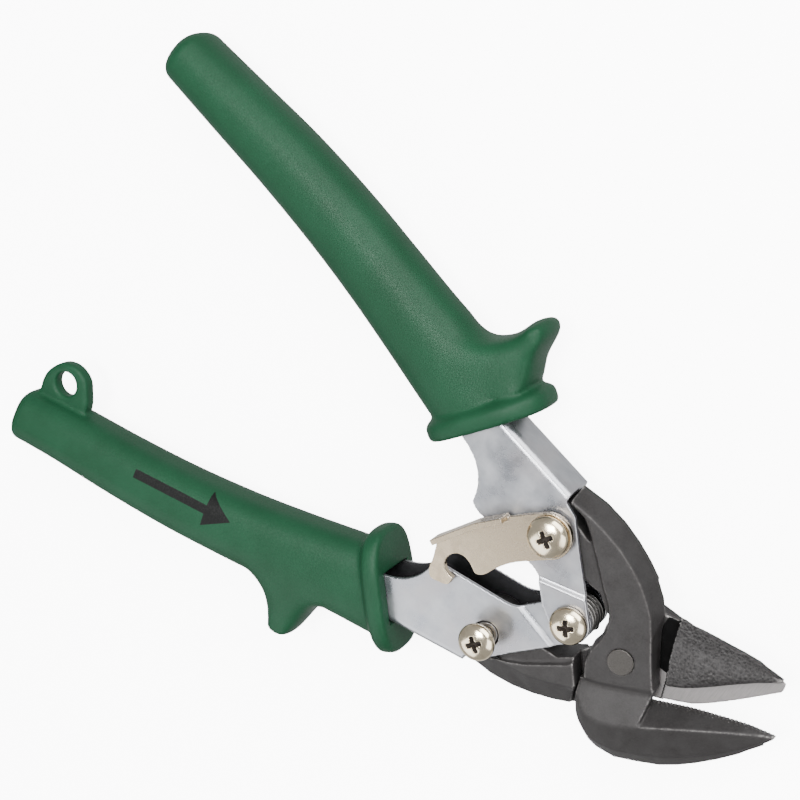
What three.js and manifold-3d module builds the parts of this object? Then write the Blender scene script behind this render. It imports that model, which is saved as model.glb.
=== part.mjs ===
// Offset aviation snips, 10 inch class, lying on their far side with +Z up.
// Units are millimetres. The shapes are drawn around the blade pivot, with X along the
// bisector of the handles towards the jaws and Y towards the upper handle. At the end the
// whole group is moved so that its origin is the bottom centre of its box.
import * as THREE from 'three';
import { mergeVertices } from 'three/addons/utils/BufferGeometryUtils.js';
import Module from 'manifold-3d';

const wasm = await Module();
wasm.setup();

// ---- Driving dimensions -------------------------------------------------------------

// The compound linkage is a kite: blade pivot, two tang pivots and the handle pivot.
const TANG_ARM = 38.36;                       // blade pivot to tang pivot
const HANDLE_ARM = 25.23;                     // handle pivot to tang pivot
const TANG_ANGLE = THREE.MathUtils.degToRad(28.9);
const TANG_X = -TANG_ARM * Math.cos(TANG_ANGLE);
const TANG_Y = TANG_ARM * Math.sin(TANG_ANGLE);
const HANDLE_X = TANG_X + Math.sqrt(HANDLE_ARM ** 2 - TANG_Y ** 2);

const CLEAR = 0.3;                            // gap between pieces that touch
const LAP_HALF = 0.15;                        // half the gap between the shearing faces

// Heights from the shear plane, which is the middle of the tool.
const TANG_HALF = 5.4;                        // forged tang inside a channel
const FACE_HALF = 6.6;                        // forged body outside the channels
const SHEET = 1.4;                            // pressed steel of the handles
const FLANGE_IN = 5.8;
const FLANGE_OUT = FLANGE_IN + SHEET;
const JOGGLE_OUT = 0.7;                       // upper flanges step out at the handle pivot
const JOGGLE_IN = -0.9;                       // lower flanges step in, inside the upper ones
const JOGGLE_RUN = 0.9;
const SLIVER = 0.01;                          // edges shorter than this are taken out
const FOLD_R = 2.2;                           // outer radius of the channel's folds

// Fasteners.
const SHANK_R = 2.2;
const BUSH_IN = 2.5;
const BUSH_OUT = 3.4;
const BUSH_HOLE = 3.75;
const HEAD_R = 5.3;
const HEAD_H = 2.7;
const NUT_FLATS = 8;
const NUT_H = 3.2;
const PIN_R = 3.2;
const PIN_HOLE = 3.5;
const NECK_R = 2.35;                          // the post that the latch hooks over
const POST_SHANK_R = 1.6;
const POST_BORE = 1.9;
const POST_HEAD_Z = 13;
const LATCH_T = 1.8;
const LATCH_Z = 8.6;
const LATCH_HEAD_Z = LATCH_Z + LATCH_T + CLEAR;

const ROUND = 32;                             // facets of a visible round
const SMALL_ROUND = 24;

// ---- Materials ----------------------------------------------------------------------

const material = (color, roughness, metalness) =>
  new THREE.MeshStandardMaterial({ color, roughness, metalness });
const forgedSteel = material(0x4b4a49, 0.55, 0.6);
const nickelPlate = material(0xb9b9be, 0.3, 0.9);
const latchPlate = material(0xbfb4a4, 0.35, 0.9);
const screwNickel = material(0xc9bba8, 0.2, 1);
const pinSteel = material(0x66635f, 0.4, 0.8);
const springSteel = material(0x6a6866, 0.35, 0.9);
const greenGrip = material(0x2f6146, 0.6, 0);

// ---- Geometry helpers ---------------------------------------------------------------

const v2 = (x, y) => new THREE.Vector2(x, y);
const v3 = (x, y, z) => new THREE.Vector3(x, y, z);

// A closed three.js geometry as a manifold solid.
function toSolid(geometry) {
  const bare = geometry.index ? geometry.toNonIndexed() : geometry.clone();
  bare.deleteAttribute('normal');
  bare.deleteAttribute('uv');
  const merged = mergeVertices(bare, 1e-4);
  const mesh = new wasm.Mesh({
    numProp: 3,
    vertProperties: new Float32Array(merged.attributes.position.array),
    triVerts: new Uint32Array(merged.index.array),
  });
  return new wasm.Manifold(mesh);
}

function toGeometry(solid) {
  const mesh = solid.getMesh();
  const geometry = new THREE.BufferGeometry();
  geometry.setAttribute('position', new THREE.BufferAttribute(mesh.vertProperties, 3));
  geometry.setIndex(new THREE.BufferAttribute(mesh.triVerts, 1));
  return geometry;
}

// A flat plate of an outline between two heights.
function plate(shape, low, high, curveSegments = 8) {
  const geometry = new THREE.ExtrudeGeometry(shape, {
    depth: high - low, bevelEnabled: false, curveSegments,
  });
  geometry.translate(0, 0, low);
  return toSolid(geometry);
}

// An outline moved inwards along its corner normals.
function inset(points, distance) {
  const count = points.length;
  const turn = THREE.ShapeUtils.isClockWise(points) ? -1 : 1;
  return points.map((point, i) => {
    const before = point.clone().sub(points[(i + count - 1) % count]).normalize();
    const after = points[(i + 1) % count].clone().sub(point).normalize();
    const along = before.add(after).normalize();
    return v2(point.x - along.y * distance * turn, point.y + along.x * distance * turn);
  });
}

// A solid through outlines at rising heights, with as many corners in each outline.
function stacked(levels) {
  const rings = levels.map(([outline, z]) => outline.map((p) => v3(p.x, p.y, z)));
  return loft(rings, THREE.ShapeUtils.triangulateShape(levels[0][0], []));
}

// A plate with softened edges: its sides slope in from a middle land to both faces.
function softened(points, half, slope, land) {
  const face = inset(points, slope);
  return stacked([[face, -half], [points, -land / 2], [points, land / 2], [face, half]]);
}

function disc(x, y, radius, low, high, facets = SMALL_ROUND) {
  const geometry = new THREE.CylinderGeometry(radius, radius, high - low, facets);
  geometry.rotateX(Math.PI / 2);
  geometry.translate(x, y, (low + high) / 2);
  return toSolid(geometry);
}

function block(x0, x1, y0, y1, z0, z1) {
  const geometry = new THREE.BoxGeometry(x1 - x0, y1 - y0, z1 - z0);
  geometry.translate((x0 + x1) / 2, (y0 + y1) / 2, (z0 + z1) / 2);
  return toSolid(geometry);
}

const corners = (points) => points.map(([x, y]) => v2(x, y));
const polygon = (points) => new THREE.Shape(corners(points));

// A closed smooth outline through the points.
function smoothOutline(points, steps) {
  const curve = new THREE.CatmullRomCurve3(points.map(([x, y]) => v3(x, y, 0)), true);
  return curve.getPoints(steps).slice(0, -1).map((p) => v2(p.x, p.y));
}

// The direction that a ring of points turns about.
function ringNormal(ring) {
  const normal = v3(0, 0, 0);
  ring.forEach((point, i) => normal.add(point.clone().cross(ring[(i + 1) % ring.length])));
  return normal;
}

// Triangles that fan over a convex ring.
function fan(count) {
  return Array.from({ length: count - 2 }, (_, i) => [0, i + 1, i + 2]);
}

// A solid skinned over rings of points, one after the other, with flat ends.
function loft(rings, cap = fan(rings[0].length)) {
  const count = rings[0].length;
  const last = rings.length - 1;
  const points = rings.flat();
  const index = [];
  for (let ring = 0; ring < last; ring += 1) {
    for (let i = 0; i < count; i += 1) {
      const a = ring * count + i;
      const b = ring * count + ((i + 1) % count);
      index.push(a, b, b + count, a, b + count, a + count);
    }
  }
  const [a, b, c] = cap[0].map((i) => points[i].clone());
  const capTurn = Math.sign(b.sub(a).cross(c.sub(a)).dot(ringNormal(rings[0])));
  cap.forEach(([i, j, k]) => {
    const [second, third] = capTurn > 0 ? [j, k] : [k, j];
    index.push(i, third, second);
    index.push(last * count + i, last * count + second, last * count + third);
  });
  let volume = 0;
  for (let i = 0; i < index.length; i += 3) {
    const [p, q, r] = [points[index[i]], points[index[i + 1]], points[index[i + 2]]];
    volume += p.dot(q.clone().cross(r));
  }
  if (volume < 0) index.reverse();
  const geometry = new THREE.BufferGeometry().setFromPoints(points);
  geometry.setIndex(index);
  return toSolid(geometry);
}

// A smooth line through a few points, sampled evenly.
function sampled(points, steps) {
  return new THREE.CatmullRomCurve3(points.map((p) => v3(...p))).getPoints(steps);
}

const joined = (solids) => solids.reduce((whole, piece) => whole.add(piece));
const without = (solid, cuts) => cuts.reduce((rest, cut) => rest.subtract(cut), solid);

// The same solid on the other side of the XZ plane.
function mirrored(solid) {
  return solid.mirror([0, 1, 0]);
}

// The same solid turned over about the X axis.
function turnedOver(solid) {
  return solid.rotate([180, 0, 0]);
}

const parts = new THREE.Group();

function addPart(name, solid, partMaterial) {
  const mesh = new THREE.Mesh(toGeometry(solid), partMaterial);
  mesh.name = name;
  parts.add(mesh);
}

// ---- Pressed steel handle channels --------------------------------------------------

// Side of the upper channel. The tail runs on inside the grip.
function flangeOutline() {
  const shape = new THREE.Shape();
  const boss = 5.6;
  shape.moveTo(-122, 43.5);
  shape.lineTo(-95, 35);
  shape.lineTo(-68, 24.8);
  shape.quadraticCurveTo(-57.5, 21.5, -56.4, 11.6);
  shape.quadraticCurveTo(-54.8, 9.8, -51.4, 9.5);
  shape.lineTo(-35.3, 7.2);
  shape.quadraticCurveTo(-31.8, 6.8, -30.2, 5.4);
  shape.lineTo(-25.3, -0.4);
  shape.lineTo(HANDLE_X - 4.2, -3.7);
  shape.absarc(HANDLE_X, 0, boss, Math.PI * 1.23, Math.PI * 2.22, false);
  shape.lineTo(-17.4, 9.6);
  shape.lineTo(-25.3, 18.8);
  shape.lineTo(-31, 26);
  shape.lineTo(-35.2, 28);
  shape.lineTo(-35.2, 30.6);
  shape.lineTo(-57, 35.2);
  shape.lineTo(-76, 39.8);
  shape.lineTo(-95, 45.8);
  shape.lineTo(-122, 54.5);
  return shape;
}

// The web closes the outer side of the channel as far as the tang of the blade.
const WEB_LINE = [[-35.2, 30.6], [-57, 35.2], [-76, 39.8], [-95, 45.8], [-122, 54.5]];

function webOutline() {
  const inner = WEB_LINE.map(([x, y]) => [x, y - SHEET]).reverse();
  return polygon([...WEB_LINE, ...inner]);
}

// What the bend takes off the square corner between the web and the near flange.
function foldCut() {
  const over = 2;
  const pieces = WEB_LINE.slice(1).map(([x, y], i) => {
    const [startX, startY] = WEB_LINE[i];
    const length = Math.hypot(x - startX, y - startY);
    const angle = THREE.MathUtils.radToDeg(Math.atan2(startY - y, startX - x));
    const low = FLANGE_OUT - FOLD_R;
    const bar = disc(0, 0, FOLD_R, -over - 1, length + over + 1)
      .rotate([0, 90, 0]).translate([0, -FOLD_R, low]);
    return block(-over, length + over, -FOLD_R, over, low, FLANGE_OUT + over).subtract(bar)
      .rotate([0, 0, angle]).translate([x, y, 0]);
  });
  return joined(pieces);
}

// Shift the end of a flange past the joggle line by a step, over a short slope.
function joggled(flange, step) {
  const from = v2(-30.6, 5.6);
  const along = v2(-17.2, 9.4).sub(from).normalize();
  const angle = THREE.MathUtils.radToDeg(Math.atan2(along.y, along.x));
  const reach = 60;
  const strip = (start, end) => block(-reach, reach, start, end, -2 * FLANGE_OUT, 2 * FLANGE_OUT)
    .rotate([0, 0, angle]).translate([from.x, from.y, 0]);
  const main = flange.intersect(strip(-0.001, 2 * reach));
  const slope = flange.intersect(strip(-JOGGLE_RUN, 0)).warp((p) => {
    const across = -(p[0] - from.x) * along.y + (p[1] - from.y) * along.x;
    p[2] += step * (-across / JOGGLE_RUN);
  });
  const end = flange.intersect(strip(-2 * reach, -JOGGLE_RUN + 0.001)).translate([0, 0, step]);
  return joined([main, slope, end]);
}

// Upper channel: two joggled flanges and a web, with holes for the two pivots.
function channel(step) {
  const near = joggled(plate(flangeOutline(), FLANGE_IN, FLANGE_OUT), step);
  const web = plate(webOutline(), -FLANGE_OUT, FLANGE_OUT);
  const reach = 2 * FLANGE_OUT;
  const fold = foldCut();
  return without(joined([near, near.mirror([0, 0, 1]), web]), [
    fold,
    fold.mirror([0, 0, 1]),
    disc(HANDLE_X, 0, BUSH_HOLE, -reach, reach),
    disc(TANG_X, TANG_Y, BUSH_HOLE, -reach, reach),
  ]).simplify(SLIVER);
}

// ---- Moulded grips ------------------------------------------------------------------

const GRIP_FACETS = 28;

// A rounded-square ring of points square to the direction, in the plane that holds Z.
function gripRing(center, direction, half, thick, power) {
  const side = v3(-direction.y, direction.x, 0).normalize();
  return Array.from({ length: GRIP_FACETS }, (_, i) => {
    const turn = (2 * Math.PI * i) / GRIP_FACETS;
    const bulge = (value) => Math.sign(value) * Math.abs(value) ** (2 / power);
    return center.clone()
      .addScaledVector(side, half * bulge(Math.cos(turn)))
      .add(v3(0, 0, thick * bulge(Math.sin(turn))));
  });
}

// The long body of a grip: a line of [x, y, half width], with a domed end.
// The ring made thinner from just past its middle to its inner edge.
function leaned(ring, center, direction, half, amount) {
  const side = v3(-direction.y, direction.x, 0).normalize();
  const ridge = -0.2;
  return ring.map((p) => {
    const across = p.clone().sub(center).dot(side) / half;
    const share = THREE.MathUtils.clamp((across - ridge) / (1 - ridge), 0, 1);
    return v3(p.x, p.y, p.z * (1 - amount * share));
  });
}

// lean gives, at each x, how much thinner the body is at its inner edge than at its ridge.
function gripBody(line, thick, power, dome, lean = () => 0) {
  const steps = 20;
  const centers = sampled(line.map(([x, y]) => [x, y, 0]), steps);
  const halves = sampled(line.map(([x, , half]) => [x, half, 0]), steps);
  const axis = centers[1].clone().sub(centers[0]).normalize();
  const rings = [0.12, 0.45, 0.75, 0.93].map((part) => {
    const back = dome * (1 - Math.sqrt(1 - part ** 2));
    const center = centers[0].clone().addScaledVector(axis, back - dome);
    const grow = 0.3 + 0.7 * part;
    const ring = gripRing(center, axis, halves[0].y * grow, thick * grow, power);
    return leaned(ring, center, axis, halves[0].y, lean(center.x));
  });
  centers.forEach((center, i) => {
    const next = centers[Math.min(i + 1, steps)];
    const previous = centers[Math.max(i - 1, 0)];
    const direction = next.clone().sub(previous);
    const ring = gripRing(center, direction, halves[i].y, thick, power);
    rings.push(leaned(ring, center, direction, halves[i].y, lean(center.x)));
  });
  return loft(rings);
}

// The flange that stops the hand. It leans forward on the outer side.
const COLLAR_LEAN = THREE.MathUtils.degToRad(52);
const UPPER_COLLAR = [-64, 30.8];
const LOWER_COLLAR = [-62.5, -28.9];

// The faces of the lower grip slope from a ridge on their outer half down to the inner edge,
// more so towards the end.
function lowerLean(x) {
  const [endX, frontX] = [-185, -118];
  const [atEnd, atFront] = [0.28, 0.14];
  const at = THREE.MathUtils.clamp(x, endX, frontX);
  return THREE.MathUtils.mapLinear(at, endX, frontX, atEnd, atFront);
}

function collarNormal(side) {
  return v3(Math.sin(COLLAR_LEAN), -Math.cos(COLLAR_LEAN) * side, 0);
}

function collar([x, y], side) {
  const normal = collarNormal(side);
  const half = 18.2;
  const thick = 12;
  const soft = 1.2;
  const profile = [[-4.6 - soft, 2.5], [-4.6, 0.4], [-3.6, 0], [-1, 0], [0, 1]];
  return loft(profile.map(([along, smaller]) => {
    const center = v3(x, y, 0).addScaledVector(normal, along);
    return gripRing(center, normal, half - smaller, thick - smaller, 3);
  }));
}

// The grip behind the front face of its collar.
function behindCollar(solid, [x, y], side) {
  const normal = collarNormal(side);
  const front = 0.6;
  const offset = -(normal.x * x + normal.y * y) + front;
  return solid.trimByPlane([-normal.x, -normal.y, 0], offset);
}

// A finger spur: a smooth horn, as thick as the grip at its root and thinner at its tip.
function spur(points, half, root, tip, tipShare) {
  const [alongX, alongY] = [tip[0] - root[0], tip[1] - root[1]];
  const length = Math.hypot(alongX, alongY);
  return softened(smoothOutline(points, 32), half, 1.4, half).warp((p) => {
    const along = ((p[0] - root[0]) * alongX + (p[1] - root[1]) * alongY) / length ** 2;
    const share = THREE.MathUtils.clamp(along, 0, 1);
    p[2] *= 1 - (1 - tipShare) * share;
  });
}

// The pocket for the tail of the channel, open at the collar.
function channelPocket() {
  const outline = polygon([
    [-122.6, 42.9], [-95, 34.5], [-68, 24.3], [-50, 17.4], [-50, 34.2],
    [-57, 35.7], [-76, 40.3], [-95, 46.3], [-122.6, 55.2],
  ]);
  return plate(outline, -FLANGE_OUT - CLEAR, FLANGE_OUT + CLEAR);
}

function upperGrip() {
  const line = [
    [-190.5, 64.9, 8.1], [-171, 61.1, 9], [-150, 57, 9.9], [-129, 51.8, 10.5],
    [-111, 46.3, 10.9], [-95, 40.9, 11.5], [-80, 36.2, 12.8], [-68, 32.6, 13.6], [-54, 28.6, 14],
  ];
  const horn = spur([
    [-84, 45.6], [-77.6, 49.4], [-71.6, 54.6], [-68.4, 61.4], [-65.8, 63.2], [-63.2, 60.9],
    [-62.1, 53.6], [-60.2, 48], [-62, 41], [-75, 37],
  ], 9.4, [-73, 42], [-65, 63], 0.8);
  const body = behindCollar(gripBody(line, 10, 2.4, 4.5), UPPER_COLLAR, 1);
  const whole = joined([body, horn, collar(UPPER_COLLAR, 1)]);
  return whole.subtract(channelPocket());
}

const LOOP_HALF = 2.2;

function hangLoop() {
  const thick = LOOP_HALF;
  const outer = smoothOutline([
    [-191, -51], [-190.9, -45.3], [-187.6, -39.9], [-182.9, -38.1], [-178.1, -39.5],
    [-175.4, -43.3], [-173.4, -48.5], [-175, -56], [-189, -57],
  ], 36);
  const hole = disc(-183.4, -45.1, 3.8, -2 * thick, 2 * thick, ROUND);
  return softened(outer, thick, 1.2, thick).subtract(hole);
}

function lowerGrip() {
  const line = [
    [-189.8, -61.6, 8], [-175, -58.5, 8.4], [-154, -55, 8.9], [-133, -50.8, 9.4],
    [-113, -45.7, 9.9], [-95, -40.4, 10.7], [-78, -35.3, 11.9], [-66, -31.8, 12.8], [-52, -28, 13.4],
  ];
  const horn = spur([
    [-106, -49], [-100.4, -53.4], [-95.6, -55.8], [-91.2, -62], [-88, -65.3], [-83.4, -64],
    [-81.4, -57.5], [-80.2, -50], [-76, -44], [-80, -36.5], [-97, -43],
  ], 9.1, [-92, -48], [-88, -65], 0.6);
  const body = behindCollar(gripBody(line, 9.6, 3.1, 3.5, lowerLean), LOWER_COLLAR, -1);
  const whole = joined([body, horn, collar(LOWER_COLLAR, -1), hangLoop()]);
  return whole.subtract(mirrored(channelPocket()));
}

// ---- Forged blades ------------------------------------------------------------------

// The body that carries the jaw, wider at its parting line than at its faces. The face on
// the side of the other blade's jaw is drafted much more on its outer side.
// The corner where the jaw starts is a list of [x, y] at the parting line and at the face.
function bladeBody(partingCorner, faceCorner) {
  const parting = corners([
    [-34.7, 31.6], [-27, 31.5], [-20.4, 30.2], [-14.5, 28.1], [-9.3, 25.6], [-4.6, 22.8],
    [-0.9, 19.6], [1.8, 16], ...partingCorner, [-6.6, -11.8], [-8.8, -7], [-9.2, -2.5],
    [-8.5, 0.8], [-8.5, 4.2], [-10, 7.4], [-12.3, 9.8],
    [-16.3, 13], [-21.8, 18.4], [-26.4, 22.9], [-29.6, 26.4], [-34.7, 28],
  ]);
  const rest = [
    ...faceCorner, [-5.6, -10.6], [-7.6, -6.8], [-8.2, -2.5], [-7.6, 0.8], [-7.7, 4.6],
    [-9.2, 8.1], [-11, 11], [-14.9, 14.4],
  ];
  const full = corners([
    [-34.4, 28.9], [-27.6, 28.4], [-22, 27.4], [-16.4, 25.9], [-11.4, 23.7], [-7.2, 21.4],
    [-3.6, 18.6], [-0.2, 15.4], ...rest, [-20.4, 19.8], [-25, 24.2], [-28.7, 27.1], [-34.3, 28.2],
  ]);
  const drafted = corners([
    [-28.3, 24], [-27.4, 23.4], [-24, 22.6], [-18.4, 21.4], [-12.8, 19], [-8.6, 16.6],
    [-4.8, 14.8], [-0.8, 12.8], ...rest, [-20.2, 18.9], [-24.4, 21.6], [-27.4, 23.1], [-28.2, 23.7],
  ]);
  const land = 0.8;
  return stacked([[drafted, -FACE_HALF], [parting, -land], [parting, land], [full, FACE_HALF]]);
}

// The thinner tang that runs into the channel and round the tang pivot.
function tangOutline() {
  const shape = new THREE.Shape();
  const eye = 7.4;
  shape.moveTo(-34.4, 25.6);
  shape.lineTo(-26, 22.4);
  shape.lineTo(-20, 21.4);
  shape.lineTo(-10, 12);
  shape.lineTo(-10.4, 8);
  shape.lineTo(-14.5, 11.6);
  shape.lineTo(-24, 12.3);
  shape.lineTo(TANG_X + 3, TANG_Y - 6.6);
  shape.absarc(TANG_X, TANG_Y, eye, -1.15, -Math.PI * 1.4, true);
  return shape;
}

// Half lap: only one side of the shear plane is left past this line.
function lapCut() {
  const outline = polygon([
    [-12.5, 6], [-6, 14.6], [-4.5, 26], [60, 40], [60, -60], [-20, -60], [-20, -2],
  ]);
  return plate(outline, -20, LAP_HALF);
}

// The lower jaw above the shear plane: heel, flared ridge and cutting flank.
function lowerJawNear() {
  const steps = 8;
  const floor = LAP_HALF;
  const heelTop = sampled([
    [-6.6, -11.8, 6], [-2, -8.9, 6.6], [4, -5.2, 6.6], [11.3, -0.9, 6.6],
  ], steps);
  const heelRidge = sampled([
    [-5.2, -15.6, 6.4], [-0.8, -18.4, 8], [5, -17.7, 8.3], [13.4, -12, 8.2],
  ], steps);
  const heelBelly = sampled([
    [-4.6, -18.8, 1.6], [-1.2, -24.2, 1.6], [5.8, -28.2, 1.6], [13.4, -27.3, 1.6],
  ], steps);
  const dip = 0.8;
  const heel = heelTop.map((top, i) => [
    v3(top.x, top.y, floor), top,
    v3(top.x, top.y, top.z - dip).lerp(v3(heelRidge[i].x, heelRidge[i].y, top.z - dip), 0.16),
    heelRidge[i],
    heelRidge[i].clone().lerp(heelBelly[i], 0.72).add(v3(0, 0, 1.6)),
    heelBelly[i], v3(heelBelly[i].x, heelBelly[i].y, floor),
  ]);
  const edge = sampled([
    [11.6, -6.5, 0.5], [21, -1.1, 0.5], [28.1, 2.3, 0.5], [35.6, 5.6, 0.5], [42.6, 7.7, 0.4],
  ], steps);
  const ridge = sampled([
    [12.8, -12.2, 8.2], [20.3, -6.3, 7.7], [27, -1.7, 6.2], [35.2, 3.4, 3.8], [42.2, 6.9, 1],
  ], steps);
  const belly = sampled([
    [12.8, -27.5, 1.6], [23.7, -20.6, 1.6], [30.8, -13.2, 1.5], [37.9, -3.2, 1.2], [42.4, 6, 0.6],
  ], steps);
  const jaw = edge.map((top, i) => [
    v3(top.x, top.y, floor), top, ridge[i],
    ridge[i].clone().lerp(belly[i], 0.72).add(v3(0, 0, ridge[i].z * 0.18)),
    belly[i], v3(belly[i].x, belly[i].y, floor),
  ]);
  return loft(heel).add(loft(jaw));
}

// The lower jaw below the shear plane, behind a narrow ground strip.
function lowerJawFar() {
  const steps = 6;
  const low = 0.4;
  const strip = sampled([
    [9.6, -15, low], [17, -9.2, low], [25, -4.6, low], [33, -0.9, low], [40.2, 3.3, low],
  ], steps);
  const belly = sampled([
    [9.6, -28.2, low], [21, -22.4, low], [30.8, -13.2, low], [37.9, -3.2, low], [41.6, 3, low],
  ], steps);
  const depth = [5.4, 5.2, 4.8, 4.2, 3.3, 2.2, 0.9];
  return loft(strip.map((top, i) => [
    top,
    v3(top.x, top.y, -depth[i]).lerp(v3(belly[i].x, belly[i].y, -depth[i]), 0.12),
    v3(top.x, top.y, -depth[i]).lerp(v3(belly[i].x, belly[i].y, -depth[i]), 0.75),
    belly[i],
  ]));
}

function nearBlade() {
  const tang = plate(tangOutline(), -TANG_HALF, TANG_HALF);
  const body = bladeBody(
    [[3.8, 11], [7, 5.4], [11.2, -1.4], [11.4, -7.5], [-1, -14]],
    [[3.2, 10.4], [6.6, 5], [10.9, -1.1], [9.4, -2.2], [-1.2, -8.8]],
  );
  const rear = joined([body, tang]).subtract(lapCut());
  return without(joined([rear, lowerJawNear(), lowerJawFar()]), [
    disc(0, 0, PIN_HOLE, -20, 20, ROUND),
    disc(TANG_X, TANG_Y, BUSH_HOLE, -20, 20),
  ]);
}

// The upper jaw below the shear plane, from its cutting edge to its back.
function upperJawFar() {
  const steps = 8;
  const roof = -LAP_HALF;
  const edge = sampled([
    [13.2, -5.2, -0.5], [20.8, -0.7, -0.5], [24.5, 2.9, -0.5], [29.9, 9.2, -0.5], [37, 18.3, -0.4],
  ], steps);
  const ridge = sampled([
    [9.8, 0.6, -7.8], [16.5, 5.8, -7.4], [21.8, 9.9, -6.6], [28, 15.1, -4.6], [36.8, 19.2, -1],
  ], steps);
  const back = sampled([
    [1.5, 15.6, -1.6], [12, 18.4, -1.6], [19.6, 19.8, -1.5], [28, 21.3, -1.2], [36.4, 20.8, -0.6],
  ], steps);
  return loft(edge.map((low, i) => [
    v3(low.x, low.y, roof), low, ridge[i],
    ridge[i].clone().lerp(back[i], 0.72).add(v3(0, 0, ridge[i].z * 0.18)),
    back[i], v3(back[i].x, back[i].y, roof),
  ]));
}

// The upper jaw above the shear plane, behind its bright ground strip.
function upperJawNear() {
  const steps = 6;
  const roof = -0.4;
  const strip = sampled([
    [13, 1.4, roof], [17.6, 4.6, roof], [21.7, 7.9, roof], [28, 14.3, roof], [35, 20.6, roof],
  ], steps);
  const back = sampled([
    [5.4, 18.2, roof], [14.5, 19, roof], [20.4, 20, roof], [28.4, 21.4, roof], [35.6, 21.8, roof],
  ], steps);
  const rise = [7, 6.8, 6.3, 5.4, 4.2, 2.8, 1];
  // Across the jaw: share of the way to the back, and share of the rise.
  const section = [[0.02, 0.74], [0.08, 0.93], [0.24, 1], [0.5, 0.94], [0.78, 0.68]];
  return loft(strip.map((low, i) => [
    low,
    ...section.map(([across, up]) => low.clone().lerp(back[i], across).setZ(rise[i] * up)),
    back[i],
  ]));
}

function farBlade() {
  const tang = plate(tangOutline(), -TANG_HALF, TANG_HALF);
  const body = bladeBody(
    [[4.6, 11], [8, 5.6], [12.6, -1.6], [12, -7.5], [-1, -14]],
    [[3.2, 10.4], [6.6, 5], [11, -1.4], [10.6, -6.5], [-1, -11.5]],
  );
  const rear = turnedOver(joined([body, tang]).subtract(lapCut()));
  const reach = block(-4, 8, 2, 15, -FACE_HALF, -LAP_HALF);
  const root = plate(polygon([
    [5, -7.4], [11.6, -6.3], [14.2, -5], [15, 3], [6, 7],
  ]), -5, -LAP_HALF);
  return without(joined([rear, reach, root, upperJawFar(), upperJawNear()]), [
    disc(0, 0, PIN_HOLE, -20, 20, ROUND),
    disc(TANG_X, -TANG_Y, BUSH_HOLE, -20, 20),
  ]);
}

// ---- Pivots, screws and latch -------------------------------------------------------

// A pan head screw with a cross recess, its head sitting at a height.
function panScrew(x, y, seat, tip, headRadius, shank = SHANK_R) {
  const profile = [
    v2(0, tip), v2(shank, tip), v2(shank, seat), v2(headRadius, seat),
    v2(headRadius, seat + 0.7), v2(headRadius * 0.93, seat + 1.35),
    v2(headRadius * 0.76, seat + 2), v2(headRadius * 0.45, seat + HEAD_H - 0.2),
    v2(0, seat + HEAD_H),
  ];
  const lathe = new THREE.LatheGeometry(profile, SMALL_ROUND);
  lathe.rotateX(Math.PI / 2);
  const arm = 2.6;
  const slot = 0.55;
  const floor = seat + 1.1;
  const top = seat + 2 * HEAD_H;
  return without(toSolid(lathe), [
    block(-arm, arm, -slot, slot, floor, top).rotate([0, 0, 30]),
    block(-slot, slot, -arm, arm, floor, top).rotate([0, 0, 30]),
  ]).translate([x, y, 0]);
}

function ringPart(x, y, inner, outer, low, high) {
  return disc(x, y, outer, low, high, ROUND).subtract(disc(x, y, inner, low - 1, high + 1));
}

function hexNut(x, y, top, flats, hole) {
  const radius = flats / Math.sqrt(3);
  return disc(x, y, radius, top - NUT_H, top, 6).subtract(disc(x, y, hole, top - 2 * NUT_H, top + 1));
}

// The latch: an arm with a hook that drops over the post, and a thumb lip.
function latchLever() {
  const shape = new THREE.Shape();
  const eye = 6.4;
  shape.moveTo(-58.4, -2.6);
  shape.lineTo(-50.9, 9.4);
  shape.lineTo(-45.6, 15.6);
  shape.lineTo(-42, 19.4);
  shape.lineTo(TANG_X - 4.2, TANG_Y + 4.8);
  shape.absarc(TANG_X, TANG_Y, eye, 2.29, -0.75, true);
  shape.quadraticCurveTo(-34, 9.6, -36.6, 7);
  shape.quadraticCurveTo(-39.4, 4.2, -41.2, 0);
  shape.quadraticCurveTo(-42.4, -3.6, -44.7, -3.8);
  shape.lineTo(-47.2, -2.35);
  shape.quadraticCurveTo(-50.6, -0.9, -52.5, -3.2);
  shape.quadraticCurveTo(-53.8, -5, -53, -7.4);
  shape.quadraticCurveTo(-52, -9.1, -49, -9.3);
  shape.quadraticCurveTo(-48.4, -12, -50.6, -12.6);
  shape.lineTo(-54, -13.5);
  shape.quadraticCurveTo(-56.4, -12.6, -56.4, -9);
  shape.quadraticCurveTo(-57.2, -5.6, -58.4, -2.6);
  const lipHeight = 4;
  const lip = polygon([
    [-59.2, -2.2], [-51.6, 10], [-46.2, 16.2], [-45, 15.2], [-50.4, 9], [-57.8, -3],
  ]);
  return without(joined([
    plate(shape, LATCH_Z, LATCH_Z + LATCH_T),
    plate(lip, LATCH_Z, LATCH_Z + LATCH_T + lipHeight),
  ]), [disc(TANG_X, TANG_Y, BUSH_IN, 0, 20)]);
}

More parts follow.
